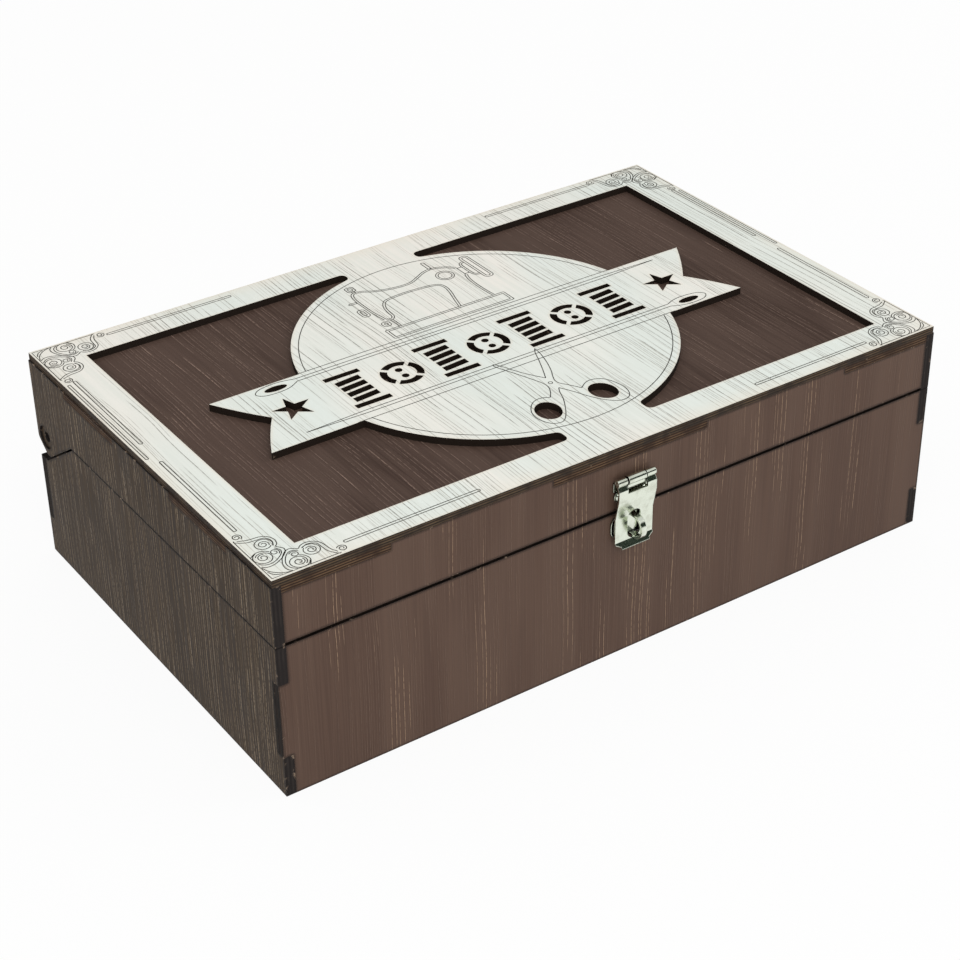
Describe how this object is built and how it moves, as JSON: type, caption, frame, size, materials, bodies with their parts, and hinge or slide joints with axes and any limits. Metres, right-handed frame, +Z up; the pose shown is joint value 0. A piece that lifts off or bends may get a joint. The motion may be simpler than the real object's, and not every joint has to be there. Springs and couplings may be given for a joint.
{
  "type": "thread spool storage box",
  "caption": "Low rectangular wooden box with finger-jointed walls, a lid on ear hinges with a fretted white overlay, a front hasp, and rows of pegs inside that hold thread spools.",
  "frame": {"origin": "middle of the rectangle that the underside of the four walls makes, on the surface the box stands on", "axes": "+X along the front to the box's right seen from the front, +Y from the front to the hinged back, +Z up"},
  "size_m": [0.3, 0.1976, 0.092],
  "materials": {
    "brown_board": "dark brown wood-grain laminate with burnt laser-cut edges",
    "brown_top": "dark brown wood-grain laminate, grain across the lid",
    "white_board": "off-white wood-grain laminate with engraved lines and burnt edges",
    "hinge_board": "dark brown board with burnt edges",
    "raw_board": "plain smooth fibreboard",
    "dowel": "plain beech dowel",
    "nickel": "polished nickel plate"
  },
  "bodies": {
    "base": {"base_front_panel": "brown_board", "base_back_panel": "brown_board", "base_bottom_panel": "raw_board", "base_side_panel_left": "brown_board", "base_side_panel_right": "brown_board", "hinge_plate_left": "hinge_board", "hinge_plate_right": "hinge_board", "pivot_disc_left": "hinge_board", "pivot_disc_right": "hinge_board", "peg_board": "raw_board", "spool_pegs_row_1": "dowel", "spool_pegs_row_2": "dowel", "spool_pegs_row_3": "dowel", "spool_pegs_row_4": "dowel", "staple_plate": "nickel", "staple_loop": "nickel"},
    "lid": {"lid_top_panel": "brown_top", "lid_front_panel": "brown_board", "lid_back_panel": "brown_board", "lid_side_panel_left": "brown_board", "lid_side_panel_right": "brown_board", "lid_overlay": "white_board", "hasp_leaf": "nickel", "hasp_pin": "nickel"},
    "hasp": {"hasp_plate": "nickel"}
  },
  "joints": [
    {"name": "lid_hinge", "type": "hinge", "parent": "base", "child": "lid", "pos_m": [0, 0.0877, 0.057], "axis": [-1, 0, 0], "range_deg": [0, 110]},
    {"name": "hasp_hinge", "type": "hinge", "parent": "lid", "child": "hasp", "pos_m": [0, -0.097, 0.0785], "axis": [-1, 0, 0], "range_deg": [0, 175]}
  ]
}
